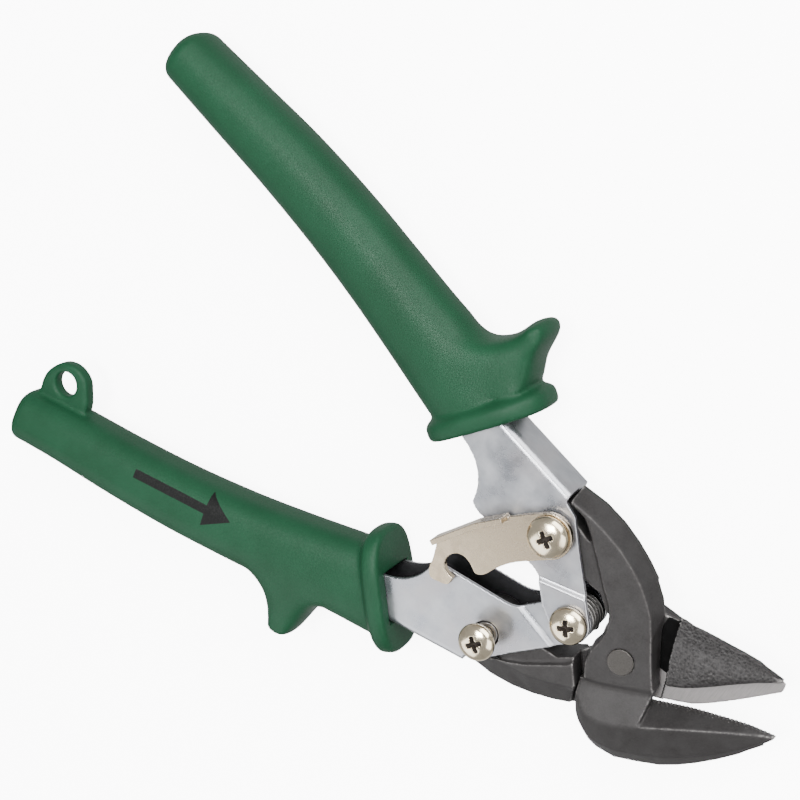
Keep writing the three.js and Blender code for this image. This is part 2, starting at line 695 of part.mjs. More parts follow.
// A torsion spring round the handle pivot, with a leg inside each channel.
function torsionSpring() {
  const wire = 0.75;
  const mean = 4.9;
  const turns = 3.5;
  const half = 3.4;
  const points = [];
  const legs = [[-30.2, 9.7], [-27.6, 9.2], [-24.2, 7.6]];
  legs.forEach(([x, y]) => points.push(v3(x, y, half)));
  const steps = Math.round(turns * 12);
  const start = 1.9;
  for (let i = 0; i <= steps; i += 1) {
    const part = i / steps;
    const angle = start + (turns * 2 * Math.PI - 2 * start + Math.PI) * -part;
    points.push(v3(HANDLE_X + mean * Math.cos(angle), mean * Math.sin(angle), half * (1 - 2 * part)));
  }
  legs.reverse().forEach(([x, y]) => points.push(v3(x, -y, -half)));
  const path = new THREE.CatmullRomCurve3(points, false, 'centripetal');
  const section = new THREE.Shape().absarc(0, 0, wire, 0, 2 * Math.PI, false);
  return toSolid(new THREE.ExtrudeGeometry(section, {
    steps: 110, curveSegments: 4, bevelEnabled: false, extrudePath: path,
  }));
}

// ---- Assembly -----------------------------------------------------------------------

const upperFlangeTop = FLANGE_OUT + JOGGLE_OUT;
const outerNutTop = -FLANGE_OUT - CLEAR;
const pivotNutTop = -upperFlangeTop - CLEAR;
const bushHalf = FLANGE_OUT;
const tipBelowNut = 0.6;
const washerTop = -FACE_HALF - CLEAR;
const WASHER_T = 0.9;

addPart('near_blade', nearBlade(), forgedSteel);
addPart('far_blade', farBlade(), forgedSteel);
const pinHead = disc(0, 0, PIN_R + 0.5, FACE_HALF + 0.15, FACE_HALF + 0.4, ROUND);
addPart('blade_pivot_pin', disc(0, 0, PIN_R, -11.4, FACE_HALF + 0.4, ROUND).add(pinHead), pinSteel);
addPart('blade_pivot_washer',
  ringPart(0, 0, PIN_HOLE, 6.4, washerTop - WASHER_T, washerTop), nickelPlate);
addPart('blade_pivot_nut', hexNut(0, 0, washerTop - WASHER_T - CLEAR, 11, PIN_HOLE), screwNickel);

addPart('upper_channel', channel(JOGGLE_OUT), nickelPlate);
addPart('lower_channel', mirrored(channel(JOGGLE_IN)), nickelPlate);
addPart('upper_grip', upperGrip(), greenGrip);
addPart('lower_grip', lowerGrip(), greenGrip);

addPart('handle_pivot_screw',
  panScrew(HANDLE_X, 0, upperFlangeTop + CLEAR, pivotNutTop - NUT_H - tipBelowNut, HEAD_R), screwNickel);
addPart('handle_pivot_bushing',
  ringPart(HANDLE_X, 0, BUSH_IN, BUSH_OUT, -upperFlangeTop, upperFlangeTop), springSteel);
addPart('handle_pivot_nut', hexNut(HANDLE_X, 0, pivotNutTop, NUT_FLATS, BUSH_IN), screwNickel);
addPart('torsion_spring', torsionSpring(), springSteel);

addPart('upper_tang_screw',
  panScrew(TANG_X, TANG_Y, LATCH_HEAD_Z, outerNutTop - NUT_H - tipBelowNut, HEAD_R + 0.5), screwNickel);
addPart('upper_tang_bushing',
  ringPart(TANG_X, TANG_Y, BUSH_IN, BUSH_OUT, -bushHalf, bushHalf), springSteel);
addPart('upper_tang_nut', hexNut(TANG_X, TANG_Y, outerNutTop, NUT_FLATS, BUSH_IN), screwNickel);
addPart('latch_washer',
  ringPart(TANG_X, TANG_Y, BUSH_IN, 5.6, FLANGE_OUT + CLEAR, LATCH_Z - CLEAR), springSteel);
addPart('latch_lever', latchLever(), latchPlate);

const postTip = outerNutTop - NUT_H - tipBelowNut;
addPart('latch_post_screw',
  panScrew(TANG_X, -TANG_Y, POST_HEAD_Z, postTip, HEAD_R, POST_SHANK_R), screwNickel);
addPart('latch_post_sleeve',
  ringPart(TANG_X, -TANG_Y, POST_BORE, NECK_R, FLANGE_OUT + CLEAR, POST_HEAD_Z - CLEAR), screwNickel);
addPart('latch_post_bushing',
  ringPart(TANG_X, -TANG_Y, POST_BORE, BUSH_OUT, -bushHalf, bushHalf), springSteel);
addPart('latch_post_nut', hexNut(TANG_X, -TANG_Y, outerNutTop, NUT_FLATS, POST_BORE), screwNickel);

// The origin is the bottom centre of the box round the tool.
const bounds = new THREE.Box3().setFromObject(parts);
const middle = bounds.getCenter(new THREE.Vector3());
parts.position.set(-middle.x, -middle.y, -bounds.min.z);

const group = new THREE.Group();
group.add(parts);
group.updateMatrixWorld(true);

export default group;
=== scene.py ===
"""Looks of the offset aviation snips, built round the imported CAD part.

Lengths are millimetres in the design frame: X along the bisector of the handles towards the
jaws, Y towards the upper handle, Z up from the shear plane, with the blade pivot at 0, 0.
"""
import math

import bmesh
import bpy
import numpy as np
from mathutils import Euler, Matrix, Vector


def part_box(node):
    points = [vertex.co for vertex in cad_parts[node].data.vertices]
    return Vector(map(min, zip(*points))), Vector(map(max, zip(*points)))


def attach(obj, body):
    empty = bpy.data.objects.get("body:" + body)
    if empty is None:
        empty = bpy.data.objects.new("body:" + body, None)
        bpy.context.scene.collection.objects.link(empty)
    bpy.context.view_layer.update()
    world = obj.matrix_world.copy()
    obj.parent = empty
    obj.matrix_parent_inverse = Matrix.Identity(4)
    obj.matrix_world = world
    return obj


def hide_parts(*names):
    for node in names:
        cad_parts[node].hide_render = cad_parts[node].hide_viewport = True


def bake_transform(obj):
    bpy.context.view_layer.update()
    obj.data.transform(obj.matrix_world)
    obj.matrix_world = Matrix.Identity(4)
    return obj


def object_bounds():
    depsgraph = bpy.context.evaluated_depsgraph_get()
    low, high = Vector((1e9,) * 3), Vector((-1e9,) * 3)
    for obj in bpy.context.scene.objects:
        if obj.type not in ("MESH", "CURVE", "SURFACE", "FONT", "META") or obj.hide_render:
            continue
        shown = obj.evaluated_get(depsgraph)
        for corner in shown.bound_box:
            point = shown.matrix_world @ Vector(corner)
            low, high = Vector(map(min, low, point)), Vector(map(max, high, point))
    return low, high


MM = 0.001

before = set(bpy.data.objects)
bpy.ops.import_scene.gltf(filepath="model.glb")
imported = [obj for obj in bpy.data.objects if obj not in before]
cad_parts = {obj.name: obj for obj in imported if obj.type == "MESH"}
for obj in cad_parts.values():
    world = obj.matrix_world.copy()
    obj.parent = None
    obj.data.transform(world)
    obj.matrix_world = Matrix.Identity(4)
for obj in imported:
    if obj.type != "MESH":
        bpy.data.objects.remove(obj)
cad_low, cad_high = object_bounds()

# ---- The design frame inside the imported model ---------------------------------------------

PIN_TOP = 7.0  # height of the blade pivot pin above the shear plane
pin_low, pin_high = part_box("blade_pivot_pin")
pin_middle = (pin_low + pin_high) / 2
ORIGIN = Vector((pin_middle.x, pin_middle.y, pin_high.z - PIN_TOP * MM))

# The linkage is a kite: blade pivot, two tang pivots and the handle pivot.
TANG_ARM = 38.36
HANDLE_ARM = 25.23
TANG_ANGLE = math.radians(28.9)
TANG_X = -TANG_ARM * math.cos(TANG_ANGLE)
TANG_Y = TANG_ARM * math.sin(TANG_ANGLE)
HANDLE_X = TANG_X + math.sqrt(HANDLE_ARM**2 - TANG_Y**2)

FLANGE_OUT = 7.2  # height of a channel's flanges above the shear plane, outside and inside
FLANGE_IN = 5.8
LAP_HALF = 0.15  # each blade's ground face lies this far from the shear plane
COLLAR_LEAN = math.radians(52)

# Mesh size of each remeshed piece.
GRIP_VOXEL = 0.6
CHANNEL_VOXEL = 0.3
BLADE_VOXEL = 0.3
LATCH_VOXEL = 0.2
FITTING_VOXEL = 0.18
SCREW_VOXEL = 0.15
RECESS_VOXEL = 0.12


def row(points):
    """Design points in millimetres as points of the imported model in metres."""
    return np.asarray(points, float) * MM + np.array(ORIGIN)


def design(points):
    """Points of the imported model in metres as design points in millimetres."""
    return (np.asarray(points, float) - np.array(ORIGIN)) / MM


# ---- Mesh helpers --------------------------------------------------------------------------

JOIN_DISTANCE = 0.001
MELT_STEP = 0.5  # how far one round moves a vertex towards its neighbours' mean

# How far a bend stands out, or a corner lies in, per millimetre of mesh size. Bends are lightened,
# partly as wear and partly as painted highlight; corners are darkened as painted shade.
WEAR_SHEEN_LOW, WEAR_SHEEN_HIGH = 0.07, 0.2
PAINTED_SHADE_LOW, PAINTED_SHADE_HIGH = -0.04, -0.12


def add_object(name, mesh):
    obj = bpy.data.objects.new(name, mesh)
    bpy.context.scene.collection.objects.link(obj)
    return obj


def mesh_from(name, vertices, faces):
    """A mesh from design points, with its faces turned outwards."""
    mesh = bpy.data.meshes.new(name)
    mesh.from_pydata(row(vertices).tolist(), [], faces)
    work = bmesh.new()
    work.from_mesh(mesh)
    bmesh.ops.recalc_face_normals(work, faces=work.faces)
    work.to_mesh(mesh)
    work.free()
    return mesh


def loft(rings, ends=True):
    """(vertices, faces) of a skin over rings with as many points each."""
    count = len(rings[0])
    faces = []
    for ring in range(len(rings) - 1):
        for i in range(count):
            j = (i + 1) % count
            a, b = ring * count, (ring + 1) * count
            faces.append((a + i, a + j, b + j, b + i))
    if ends:
        last = (len(rings) - 1) * count
        faces.append(tuple(range(count))[::-1])
        faces.append(tuple(last + i for i in range(count)))
    return np.concatenate(rings), faces


def gathered(parts):
    """Several (vertices, faces) as one."""
    vertices, faces, start = [], [], 0
    for points, polygons in parts:
        vertices.append(points)
        faces += [tuple(i + start for i in polygon) for polygon in polygons]
        start += len(points)
    return np.concatenate(vertices), faces


def spline(points, count, closed=False):
    """A Catmull-Rom curve through the points, sampled count times."""
    p = np.asarray(points, float)
    spans = len(p) if closed else len(p) - 1
    t = np.linspace(0, spans, count, endpoint=not closed)
    k = np.minimum(t.astype(int), spans - 1)
    u = (t - k)[:, None]

    def pick(shift):
        index = k + shift
        return p[index % len(p)] if closed else p[np.clip(index, 0, len(p) - 1)]

    a, b, c, d = pick(-1), pick(0), pick(1), pick(2)
    cubic = -a + 3 * b - 3 * c + d
    square = 2 * a - 5 * b + 4 * c - d
    return 0.5 * (2 * b + (c - a) * u + square * u**2 + cubic * u**3)


def evaluated(obj):
    """The object's mesh with its modifiers applied, which are then removed."""
    bpy.context.view_layer.update()
    graph = bpy.context.evaluated_depsgraph_get()
    mesh = bpy.data.meshes.new_from_object(obj.evaluated_get(graph))
    obj.modifiers.clear()
    obj.data = mesh
    return obj


def remeshed(obj, voxel):
    """One even skin round everything in the object."""
    modifier = obj.modifiers.new("skin", "REMESH")
    modifier.mode = "VOXEL"
    modifier.voxel_size = voxel * MM
    modifier.use_smooth_shade = True
    return evaluated(obj)


def vertex_array(mesh):
    points = np.zeros(len(mesh.vertices) * 3)
    mesh.vertices.foreach_get("co", points)
    return points.reshape(-1, 3)


def normal_array(mesh):
    normals = np.zeros(len(mesh.vertices) * 3)
    mesh.vertices.foreach_get("normal", normals)
    return normals.reshape(-1, 3)


def edge_array(mesh):
    edges = np.zeros(len(mesh.edges) * 2, int)
    mesh.edges.foreach_get("vertices", edges)
    return edges.reshape(-1, 2)


def neighbour_mean(values, edges):
    """Mean over each vertex's neighbours."""
    count = len(values)
    ends = np.concatenate([edges[:, 0], edges[:, 1]])
    others = np.concatenate([edges[:, 1], edges[:, 0]])
    degree = np.maximum(np.bincount(ends, minlength=count), 1)
    columns = values.reshape(count, -1)
    total = [
        np.bincount(ends, weights=column[others], minlength=count)
        for column in columns.T
    ]
    return (np.stack(total, 1) / degree[:, None]).reshape(values.shape)


def softened(obj, rounds):
    """Rounds the edges off without shrinking the piece."""
    mesh = obj.data
    points, edges = vertex_array(mesh), edge_array(mesh)
    shrink, grow = 0.5, -0.52
    for _ in range(rounds):
        for factor in (shrink, grow):
            points += factor * (neighbour_mean(points, edges) - points)
    mesh.vertices.foreach_set("co", points.ravel())
    mesh.update()
    return obj


def melted(obj, rounds, chosen):
    """Fillets part of a piece: chosen gives each design point a share from 0 to 1."""
    mesh = obj.data
    points, edges = vertex_array(mesh), edge_array(mesh)
    share = MELT_STEP * chosen(design(points))[:, None]
    for _ in range(rounds):
        points += share * (neighbour_mean(points, edges) - points)
    mesh.vertices.foreach_set("co", points.ravel())
    mesh.update()
    return obj


def shaded_smooth(obj):
    obj.data.polygons.foreach_set("use_smooth", [True] * len(obj.data.polygons))
    return obj


def cut(obj, cutter):
    """Takes the cutter's volume off the object."""
    tool = add_object("cutter", cutter)
    modifier = obj.modifiers.new("cut", "BOOLEAN")
    modifier.operation = "DIFFERENCE"
    modifier.solver = "EXACT"
    modifier.object = tool
    evaluated(obj)
    bpy.data.objects.remove(tool)
    return obj


def cad_copy(name, node):
    """A separate copy of a CAD node's mesh, with its corners joined up."""
    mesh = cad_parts[node].data.copy()
    mesh.materials.clear()
    work = bmesh.new()
    work.from_mesh(mesh)
    bmesh.ops.remove_doubles(work, verts=work.verts, dist=JOIN_DISTANCE * MM)
    work.to_mesh(mesh)
    work.free()
    return add_object(name, mesh)


def store_bulge(obj, low, high, name="wear_and_sheen"):
    """Stores how far each vertex stands out of its neighbours, from 0 at low to 1 at high, in mm."""
    mesh = obj.data
    points, edges, normals = vertex_array(mesh), edge_array(mesh), normal_array(mesh)
    bulge = ((points - neighbour_mean(points, edges)) * normals).sum(1) / MM
    bulge = neighbour_mean(bulge, edges)
    wear_and_sheen = np.clip((bulge - low) / (high - low), 0, 1)
    mesh.attributes.new(name, "FLOAT", "POINT").data.foreach_set("value", wear_and_sheen.astype(np.float32))
    return obj


def marked(obj, fine):
    """Plate lightened on its bends, partly as wear and partly as painted highlight, and darkened in its
    corners as painted shade. Fine is the mesh size in mm.
    """
    store_bulge(obj, WEAR_SHEEN_LOW * fine, WEAR_SHEEN_HIGH * fine)
    return store_bulge(obj, PAINTED_SHADE_LOW * fine, PAINTED_SHADE_HIGH * fine, "painted_shade")


def paint_faces(obj, chosen, material):
    """Gives the faces that the test picks another of the object's materials."""
    polygons = obj.data.polygons
    normals = np.zeros(len(polygons) * 3)
    centers = np.zeros(len(polygons) * 3)
    polygons.foreach_get("normal", normals)
    polygons.foreach_get("center", centers)
    picks = chosen(design(centers.reshape(-1, 3)), normals.reshape(-1, 3))
    slots = np.zeros(len(polygons), int)
    polygons.foreach_get("material_index", slots)
    slots[picks] = obj.data.materials.find(material.name)
    polygons.foreach_set("material_index", slots)


def dress(obj, body, slot, nodes, *materials):
    """Names a piece, gives it its materials and hands it over in place of its CAD nodes."""
    obj.name = nodes[0] + "_look"
    for material in materials:
        obj.data.materials.append(material)
    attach(obj, body)
    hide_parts(*nodes)
    return obj


# ---- Materials -----------------------------------------------------------------------------


class Shader:
    """A material with short calls for its nodes."""

    def __init__(self, name, metallic, specular=0.5):
        self.material = bpy.data.materials.new(name)
        self.material.use_nodes = True
        self.tree = self.material.node_tree
        self.surface = self.tree.nodes["Principled BSDF"]
        self.surface.inputs["Metallic"].default_value = metallic
        self.surface.inputs["Specular IOR Level"].default_value = specular
        self.place = self.tree.nodes.new("ShaderNodeTexCoord").outputs["Object"]

    def plug(self, value, socket):
        if isinstance(value, bpy.types.NodeSocket):
            self.tree.links.new(value, socket)
        else:
            socket.default_value = value

    def mapped(self, scale, turn=(0, 0, 0), shift=(0, 0, 0)):
        node = self.tree.nodes.new("ShaderNodeMapping")
        node.inputs["Scale"].default_value = scale
        node.inputs["Rotation"].default_value = turn
        node.inputs["Location"].default_value = shift
        self.plug(self.place, node.inputs["Vector"])
        return node.outputs["Vector"]

    def noise(self, size, detail=3.0, rough=0.55, where=None):
        """Noise with features of about that size in millimetres."""
        node = self.tree.nodes.new("ShaderNodeTexNoise")
        node.inputs["Scale"].default_value = 1 / (size * MM) if where is None else 1.0
        node.inputs["Detail"].default_value = detail
        node.inputs["Roughness"].default_value = rough
        self.plug(self.place if where is None else where, node.inputs["Vector"])
        return node.outputs["Fac"]

    def cells(self, size):
        node = self.tree.nodes.new("ShaderNodeTexVoronoi")
        node.inputs["Scale"].default_value = 1 / (size * MM)
        self.plug(self.place, node.inputs["Vector"])
        return node.outputs["Distance"]

    def span(self, value, low, high, to_low=0.0, to_high=1.0):
        """The value from low..high as to_low..to_high, kept inside."""
        node = self.tree.nodes.new("ShaderNodeMapRange")
        self.plug(value, node.inputs["Value"])
        node.inputs["From Min"].default_value = low
        node.inputs["From Max"].default_value = high
        node.inputs["To Min"].default_value = to_low
        node.inputs["To Max"].default_value = to_high
        return node.outputs["Result"]

    def math(self, kind, a, b=0.0):
        node = self.tree.nodes.new("ShaderNodeMath")
        node.operation = kind
        self.plug(a, node.inputs[0])
        self.plug(b, node.inputs[1])
        return node.outputs["Value"]

    def mix(self, share, a, b):
        node = self.tree.nodes.new("ShaderNodeMix")
        node.data_type = "RGBA"
        self.plug(share, node.inputs["Factor"])
        colours = [socket for socket in node.inputs if socket.type == "RGBA"]
        self.plug(a if isinstance(a, bpy.types.NodeSocket) else (*a, 1), colours[0])
        self.plug(b if isinstance(b, bpy.types.NodeSocket) else (*b, 1), colours[1])
        return [socket for socket in node.outputs if socket.type == "RGBA"][0]

    def stored(self, name):
        node = self.tree.nodes.new("ShaderNodeAttribute")
        node.attribute_name = name
        return node.outputs["Fac"]

    def bump(self, height, depth, strength=1.0, after=None):
        """Relief of that depth in millimetres, on top of an earlier one."""
        node = self.tree.nodes.new("ShaderNodeBump")
        node.inputs["Strength"].default_value = strength
        node.inputs["Distance"].default_value = depth * MM
        self.plug(height, node.inputs["Height"])
        if after is not None:
            self.plug(after, node.inputs["Normal"])
        return node.outputs["Normal"]

    def finish(self, colour, roughness, normal=None):
        if not isinstance(colour, bpy.types.NodeSocket):
            colour = (*colour, 1)
        self.plug(colour, self.surface.inputs["Base Color"])
        self.plug(roughness, self.surface.inputs["Roughness"])
        if normal is not None:
            self.plug(normal, self.surface.inputs["Normal"])
        return self.material


def forged_steel(name, crinkle):
    """Black oxide forging: sooty brown-grey, finely pitted, rubbed bright on its ridges."""
    oxide_dark, oxide_light = (0.017, 0.0156, 0.0155), (0.026, 0.0247, 0.0247)
    dusty, bare, black = (0.04, 0.038, 0.0375), (0.26, 0.25, 0.243), (0, 0, 0)
    shader = Shader(name, metallic=0.15 if crinkle else 0.35, specular=0.25)
    patches = shader.noise(5, detail=5)
    grain = shader.noise(0.45, detail=4, rough=0.7)
    colour = shader.mix(shader.span(patches, 0.3, 0.7), oxide_dark, oxide_light)
    colour = shader.mix(shader.span(grain, 0.35, 0.75, 0, 0.5), colour, dusty)
    broken = shader.span(shader.noise(1.1, detail=4, rough=0.7), 0.36, 0.56)
    rubbed = shader.math("MULTIPLY", shader.stored("wear_and_sheen"), broken)
    colour = shader.mix(rubbed, colour, bare)
    roughness = shader.span(grain, 0.3, 0.7, 0.44, 0.6)
    normal = shader.bump(grain, 0.05, 0.6)
    if crinkle:
        creased = shader.math("ADD", shader.cells(0.8), shader.noise(0.7, detail=3))
        # The low parts of the crinkle are darkened: painted shade in its pits.
        colour = shader.mix(shader.span(creased, 0.6, 1.1), shader.mix(0.6, colour, black), colour)
        normal = shader.bump(creased, 0.3, 1.0, after=normal)
        roughness = shader.span(grain, 0.3, 0.7, 0.38, 0.5)
    return shader.finish(colour, roughness, normal)


def ground_steel():
    """The ground faces of the lap, with fine marks across the edge."""
    dark, light = (0.15, 0.142, 0.14), (0.27, 0.255, 0.252)
    shader = Shader("ground steel", metallic=0.55)
    across_edge = shader.mapped((3200, 260, 260), (0, 0, math.radians(-42)))
    marks = shader.noise(1, detail=3, where=across_edge)
    colour = shader.mix(marks, dark, light)
    return shader.finish(colour, 0.38, shader.bump(marks, 0.02, 0.5))


def plated_sheet():
    """Zinc plate on pressed steel: cool grey, cloudy, with faint drawing marks."""
    cool_dark, cool_light = (0.25, 0.262, 0.29), (0.42, 0.428, 0.45)
    warm, drawn = (0.36, 0.338, 0.345), (0.25, 0.26, 0.28)
    rubbed_and_highlit, shade_colour = (0.56, 0.57, 0.58), (0.05, 0.048, 0.046)
    shader = Shader("plated sheet", metallic=0.9)
    clouds = shader.noise(9, detail=5, rough=0.6)
    tint = shader.noise(13, detail=2)
    spangle = shader.noise(0.7, detail=3)
    pressed = shader.mapped((90, 1500, 90), (0, 0, math.radians(35)))
    streaks = shader.noise(1, detail=3, where=pressed)
    colour = shader.mix(shader.span(clouds, 0.3, 0.7), cool_dark, cool_light)
    colour = shader.mix(shader.span(tint, 0.45, 0.65, 0, 0.5), colour, warm)
    colour = shader.mix(shader.span(streaks, 0.5, 0.9, 0, 0.2), colour, drawn)
    # Bends lighter, partly wear and partly painted highlight; corners darker as painted shade.
    colour = shader.mix(shader.stored("wear_and_sheen"), colour, rubbed_and_highlit)
    colour = shader.mix(shader.stored("painted_shade"), colour, shade_colour)
    roughness = shader.span(clouds, 0.35, 0.65, 0.24, 0.38)
    normal = shader.bump(streaks, 0.006, 0.5)
    normal = shader.bump(spangle, 0.008, 0.5, after=normal)
    return shader.finish(colour, roughness, normal)


def nickel(name, colour, dull, rough_low, rough_high):
    """Warm nickel plate, a little stained."""
    rubbed_and_highlit, shade_colour = (0.8, 0.74, 0.65), (0.06, 0.05, 0.04)
    shader = Shader(name, metallic=1.0)
    stains = shader.noise(3.2, detail=5, rough=0.65)
    fine = shader.noise(0.5, detail=3)
    tone = shader.mix(shader.span(stains, 0.42, 0.75), colour, dull)
    # Bends lighter, partly wear and partly painted highlight; corners darker as painted shade.
    tone = shader.mix(shader.stored("wear_and_sheen"), tone, rubbed_and_highlit)
    tone = shader.mix(shader.stored("painted_shade"), tone, shade_colour)
    roughness = shader.span(stains, 0.3, 0.75, rough_low, rough_high)
    return shader.finish(tone, roughness, shader.bump(fine, 0.005, 0.5))


def dark_steel(name, dark, light):
    """Oiled dark steel of the pin, bushings and spring."""
    shader = Shader(name, metallic=0.85)
    turned = shader.noise(0.35, detail=4)
    colour = shader.mix(turned, dark, light)
    roughness = shader.span(turned, 0.3, 0.7, 0.3, 0.45)
    return shader.finish(colour, roughness, shader.bump(turned, 0.03, 0.5))


def shade_steel(name, colour, specular):
    """Dark steel painted as shade where no light gets in: recesses and the inside of the channels."""
    lighter = tuple(part * 1.6 for part in colour)
    shader = Shader(name, metallic=0.0, specular=specular)
    blotches = shader.noise(2.5, detail=5)
    tone = shader.mix(shader.span(blotches, 0.3, 0.7), colour, lighter)
    roughness = shader.span(blotches, 0.3, 0.7, 0.55, 0.75)
    return shader.finish(tone, roughness, shader.bump(blotches, 0.03, 0.4))


def arrow_mask(shader, tail, tip, width, head):
    """1 inside a plain arrow printed from tail to tip, looking down on the piece."""
    start, end = Vector(row([*tail, 0])), Vector(row([*tip, 0]))
    along = end - start
    angle = math.atan2(along.y, along.x)
    length = along.length
    node = shader.tree.nodes.new("ShaderNodeMapping")
    node.vector_type = "TEXTURE"
    node.inputs["Location"].default_value = start
    node.inputs["Rotation"].default_value = (0, 0, angle)
    shader.plug(shader.place, node.inputs["Vector"])
    split = shader.tree.nodes.new("ShaderNodeSeparateXYZ")
    shader.plug(node.outputs["Vector"], split.inputs[0])
    forward = split.outputs["X"]
    across = shader.math("ABSOLUTE", split.outputs["Y"])
    neck = length - head * MM
    slope = 0.55
    shaft = shader.math("MULTIPLY", shader.math("GREATER_THAN", forward, 0.0),
                        shader.math("LESS_THAN", forward, neck))
    shaft = shader.math("MULTIPLY", shaft, shader.math("LESS_THAN", across, width / 2 * MM))
    edge = shader.math("MULTIPLY", shader.math("SUBTRACT", length, forward), slope)
    point = shader.math("MULTIPLY", shader.math("GREATER_THAN", forward, neck),
                        shader.math("LESS_THAN", across, edge))
    above = shader.math("GREATER_THAN", split.outputs["Z"], 0.0)
    return shader.math("MULTIPLY", shader.math("MAXIMUM", shaft, point), above)


def green_grip(name, arrow=None):
    """Moulded vinyl: deep green, satin, with a fine sandy skin."""
    green_dark, green_light = (0.003, 0.031, 0.0125), (0.0048, 0.039, 0.0168)
    print_black = (0.0015, 0.002, 0.0018)
    shader = Shader(name, metallic=0.0, specular=0.17)
    shade = shader.noise(14, detail=4)
    sand = shader.noise(0.42, detail=3, rough=0.6)
    dimples = shader.noise(2.2, detail=3)
    colour = shader.mix(shader.span(shade, 0.3, 0.7), green_dark, green_light)
    if arrow is not None:
        ink = arrow_mask(shader, *arrow)
        colour = shader.mix(ink, colour, print_black)
    roughness = shader.span(sand, 0.3, 0.7, 0.44, 0.58)
    normal = shader.bump(dimples, 0.06, 0.5)
    return shader.finish(colour, roughness, shader.bump(sand, 0.06, 0.9, after=normal))


FORGED = forged_steel("forged steel", crinkle=False)
CRINKLED = forged_steel("forged steel, crinkled", crinkle=True)
GROUND = ground_steel()
SHEET = plated_sheet()
LATCH_NICKEL = nickel("latch nickel", (0.47, 0.39, 0.285), (0.36, 0.295, 0.21), 0.2, 0.34)
SCREW_NICKEL = nickel("screw nickel", (0.7, 0.61, 0.45), (0.54, 0.455, 0.33), 0.13, 0.24)
DARK = dark_steel("dark steel", (0.12, 0.115, 0.11), (0.22, 0.21, 0.2))
PIN_STEEL = dark_steel("pin steel", (0.042, 0.039, 0.036), (0.08, 0.075, 0.07))
# Painted shade for the cross recesses of the screws, the inside of the channels and the recess in the
# lap.
PAINTED_SHADE = shade_steel("painted shade in recesses", (0.02, 0.016, 0.013), 0.12)
INSIDE_SHADE = shade_steel("painted shade inside the channels", (0.012, 0.012, 0.013), 0.08)
LAP_SHADE = shade_steel("painted shade in the lap", (0.003, 0.003, 0.003), 0.01)
ARROW = ((-147, -49.8), (-113, -41.8), 2.6, 9)  # tail, tip, shaft width and head length
UPPER_GREEN = green_grip("green grip")
LOWER_GREEN = green_grip("green grip with arrow", ARROW)

# ---- Moulded grips -------------------------------------------------------------------------

GRIP_FACETS = 72
BODY_RINGS = 80
DOME_RINGS = 10
END_SHARE = 0.3  # width of a grip's flat end as a share of the body's
LEAN_RIDGE = -0.2  # where the lean starts, as a share of the half width
LEAN_ALONG = (-185, -118)
LEAN_AMOUNT = (0.28, 0.14)
COLLAR_OVERLAP = 0.8  # how far behind the collar's front the body ends
COLLAR_BACK = -7.3  # the collar's back, along its normal
SPUR_FILLET = 14.0  # how far from its root a spur is blended into the body
FILLET_FADE, COLLAR_FADE = 4.0, 1.2  # widths over which the blend dies away
FILLET_ROUNDS = 110
HORN_FACETS = 120
HORN_LEVELS = 11
POCKET_CLEARANCE = 0.3
LOOP_FACETS = 96


def grip_ring(center, direction, half, thick, power):
    """A rounded-square ring square to the direction, in the plane that holds Z."""
    side = np.array([-direction[1], direction[0], 0.0])
    side /= np.linalg.norm(side)
    turn = np.linspace(0, 2 * math.pi, GRIP_FACETS, endpoint=False)[:, None]

    def bulge(value):
        return np.sign(value) * np.abs(value) ** (2 / power)

    up = np.array([0, 0, 1.0])
    return center + side * half * bulge(np.cos(turn)) + up * thick * bulge(np.sin(turn))


def leaned(ring, center, direction, half, amount):
    """The ring made thinner from just past its middle to its inner edge."""
    side = np.array([-direction[1], direction[0], 0.0])
    side /= np.linalg.norm(side)
    share = np.clip(((ring - center) @ side / half - LEAN_RIDGE) / (1 - LEAN_RIDGE), 0, 1)
    return ring * np.column_stack([np.ones((len(ring), 2)), 1 - amount * share])


def no_lean(_x):
    """The upper grip is as thick at its inner edge as at its outer one."""
    return 0.0


def lower_lean(x):
    """How much thinner the lower grip is at its inner edge than at its ridge."""
    return np.interp(x, LEAN_ALONG, LEAN_AMOUNT)


def grip_body(line, thick, power, dome, lean):
    """The long body: a line of [x, y, half width] with a domed end."""
    samples = spline(line, BODY_RINGS)
    centers = np.column_stack([samples[:, :2], np.zeros(len(samples))])
    axis = centers[1] - centers[0]
    axis /= np.linalg.norm(axis)
    rings = []
    for share in np.sin(np.linspace(0.1, 0.97, DOME_RINGS) * math.pi / 2):
        back = dome * (1 - math.sqrt(1 - share**2))
        grow = END_SHARE + (1 - END_SHARE) * share
        center = centers[0] + axis * (back - dome)
        ring = grip_ring(center, axis, samples[0, 2] * grow, thick * grow, power)
        rings.append(leaned(ring, center, axis, samples[0, 2], lean(center[0])))
    directions = np.gradient(centers, axis=0)
    for center, direction, sample in zip(centers, directions, samples):
        ring = grip_ring(center, direction, sample[2], thick, power)
        rings.append(leaned(ring, center, direction, sample[2], lean(center[0])))
    return rings


def collar_normal(side):
    """The collar leans back towards the hand; side is 1 for the upper grip, -1 for the lower."""
    return np.array([math.sin(COLLAR_LEAN), -math.cos(COLLAR_LEAN) * side, 0.0])


def behind(rings, front, normal):
    """The rings pulled back onto the plane that ends the body."""
    kept = []
    for ring in rings:
        over = np.maximum((ring - front) @ normal, 0)
        kept.append(ring - over[:, None] * normal)
    return kept


def collar(center, side):
    """The flange that stops the hand."""
    normal = collar_normal(side)
    half, thick, power = 18.2, 12.0, 3.0
    profile = [(-7, 3.4), (-5.4, 1.1), (-4.4, 0.2), (-3.4, 0), (-1.6, 0), (-0.5, 0.3), (0, 1.2)]
    return loft([
        grip_ring(center + normal * along, normal, half - less, thick - less, power)
        for along, less in profile
    ])


